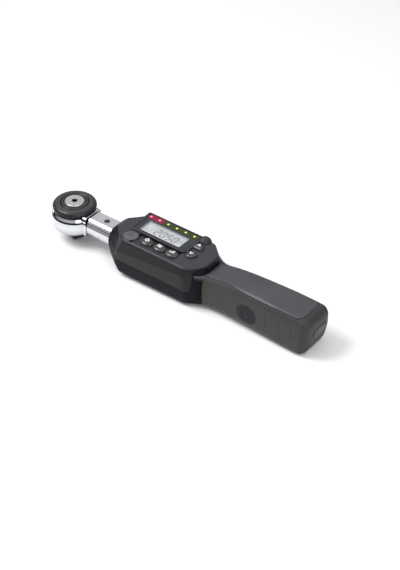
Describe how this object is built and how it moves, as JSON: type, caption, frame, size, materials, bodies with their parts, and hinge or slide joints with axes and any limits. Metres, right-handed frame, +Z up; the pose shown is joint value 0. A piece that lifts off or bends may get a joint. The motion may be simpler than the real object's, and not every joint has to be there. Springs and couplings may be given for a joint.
{
  "type": "digital torque wrench",
  "caption": "Electronic torque wrench: reversible ratchet head with a square drive, chromed shank, housing with display, lamps and keys, and a rubber-covered battery handle.",
  "frame": {"origin": "on the drive axis, at the underside of the head where the square drive starts", "axes": "+X from the drive axis along the wrench to the handle's end; +Z up out of the selector wheel and the display; +Y to the left, seen from the head"},
  "size_m": [0.2471, 0.0444, 0.0412],
  "materials": {
    "chrome": "polished plate",
    "steel": "machined",
    "cap_metal": "turned, satin",
    "wheel_black": "satin",
    "cover_charcoal": "satin",
    "shell_blue_black": "satin",
    "seal_rubber": "matt",
    "lens_clear": "clear",
    "lcd_grey": "smooth",
    "frame_white": "moulded",
    "lamp_red": "clear tinted",
    "lamp_green": "clear tinted",
    "board_green": "laminate",
    "gauge_foil": "foil on film",
    "button_grey": "semi-gloss",
    "sounder_grey": "semi-gloss",
    "handle_blue_grey": "satin",
    "grip_olive": "matt",
    "pad_navy": "matt",
    "cell_sleeve": "plain printed sleeve",
    "cradle_black": "moulded",
    "cap_lavender": "satin",
    "latch_grey": "satin"
  },
  "bodies": {
    "wrench": {"head_body": "chrome", "shank_tube": "chrome", "gear_retainer": "steel", "pawl_pin": "steel", "head_pin": "steel", "load_pin": "steel", "rear_pin": "steel", "strain_beam": "steel", "handle_frame": "steel", "housing_screws": "steel", "frame_screws": "steel", "battery_springs": "steel", "housing_cover": "cover_charcoal", "housing_lower": "shell_blue_black", "nose_seal": "seal_rubber", "keypad": "seal_rubber", "display_window": "lens_clear", "lcd_module": "lcd_grey", "lcd_holder": "frame_white", "lamps_red": "lamp_red", "lamps_green": "lamp_green", "circuit_board": "board_green", "strain_gauges": "gauge_foil", "sounder": "sounder_grey", "sounder_cover": "sounder_grey", "handle_shell": "handle_blue_grey", "grip_rubber": "grip_olive", "grip_pad_right": "pad_navy", "grip_pad_left": "pad_navy", "battery_right": "cell_sleeve", "battery_left": "cell_sleeve", "battery_cradle": "cradle_black"},
    "drive": {"drive_gear": "steel", "cap_screw": "cap_metal", "detent_spring": "steel"},
    "ball": {"detent_ball": "steel"},
    "selector": {"selector_wheel": "wheel_black", "selector_spring": "steel"},
    "plunger": {"selector_plunger": "steel"},
    "pawl": {"pawl": "steel"},
    "key_clear": {"button_clear": "button_grey"},
    "key_unit": {"button_unit": "button_grey"},
    "key_memory": {"button_memory": "button_grey"},
    "key_down": {"button_down": "button_grey"},
    "key_up": {"button_up": "button_grey"},
    "cap": {"end_cap": "cap_lavender", "battery_contact": "steel"},
    "latch": {"latch_button": "latch_grey"}
  },
  "joints": [
    {"name": "drive_spin", "type": "hinge", "parent": "wrench", "child": "drive", "pos_m": [0, 0, 0], "axis": [0, 0, 1], "continuous": true},
    {"name": "ball_press", "type": "slide", "parent": "drive", "child": "ball", "axis": [0.9397, -0.342, 0], "range_m": [0, 0.0007], "stiffness_N_per_m": 800, "springref_m": -0.001},
    {"name": "selector_turn", "type": "hinge", "parent": "wrench", "child": "selector", "pos_m": [0, 0, 0.019], "axis": [0, 0, 1], "range_deg": [0, 40]},
    {"name": "plunger_press", "type": "slide", "parent": "selector", "child": "plunger", "axis": [-0.9397, 0.342, 0], "range_m": [0, 0.0005], "stiffness_N_per_m": 800, "springref_m": -0.001},
    {"name": "pawl_rock", "type": "hinge", "parent": "wrench", "child": "pawl", "pos_m": [0.0142, 0, 0.008], "axis": [0, 0, 1], "range_deg": [-9, 0]},
    {"name": "press_clear", "type": "slide", "parent": "wrench", "child": "key_clear", "axis": [0, 0, -1], "range_m": [0, 0.0006], "stiffness_N_per_m": 1500, "springref_m": -0.0004},
    {"name": "press_unit", "type": "slide", "parent": "wrench", "child": "key_unit", "axis": [0, 0, -1], "range_m": [0, 0.0006], "stiffness_N_per_m": 1500, "springref_m": -0.0004},
    {"name": "press_memory", "type": "slide", "parent": "wrench", "child": "key_memory", "axis": [0, 0, -1], "range_m": [0, 0.0006], "stiffness_N_per_m": 1500, "springref_m": -0.0004},
    {"name": "press_down", "type": "slide", "parent": "wrench", "child": "key_down", "axis": [0, 0, -1], "range_m": [0, 0.0006], "stiffness_N_per_m": 1500, "springref_m": -0.0004},
    {"name": "press_up", "type": "slide", "parent": "wrench", "child": "key_up", "axis": [0, 0, -1], "range_m": [0, 0.0006], "stiffness_N_per_m": 1500, "springref_m": -0.0004},
    {"name": "cap_pull", "type": "slide", "parent": "wrench", "child": "cap", "axis": [1, 0, 0], "range_m": [0, 0.02]},
    {"name": "latch_press", "type": "slide", "parent": "cap", "child": "latch", "axis": [-1, 0, 0], "range_m": [0, 0.0012], "stiffness_N_per_m": 1500, "springref_m": -0.0005}
  ],
  "couplings": [
    {"joint": "pawl_rock", "follows": "selector_turn", "ratio": -0.225}
  ]
}
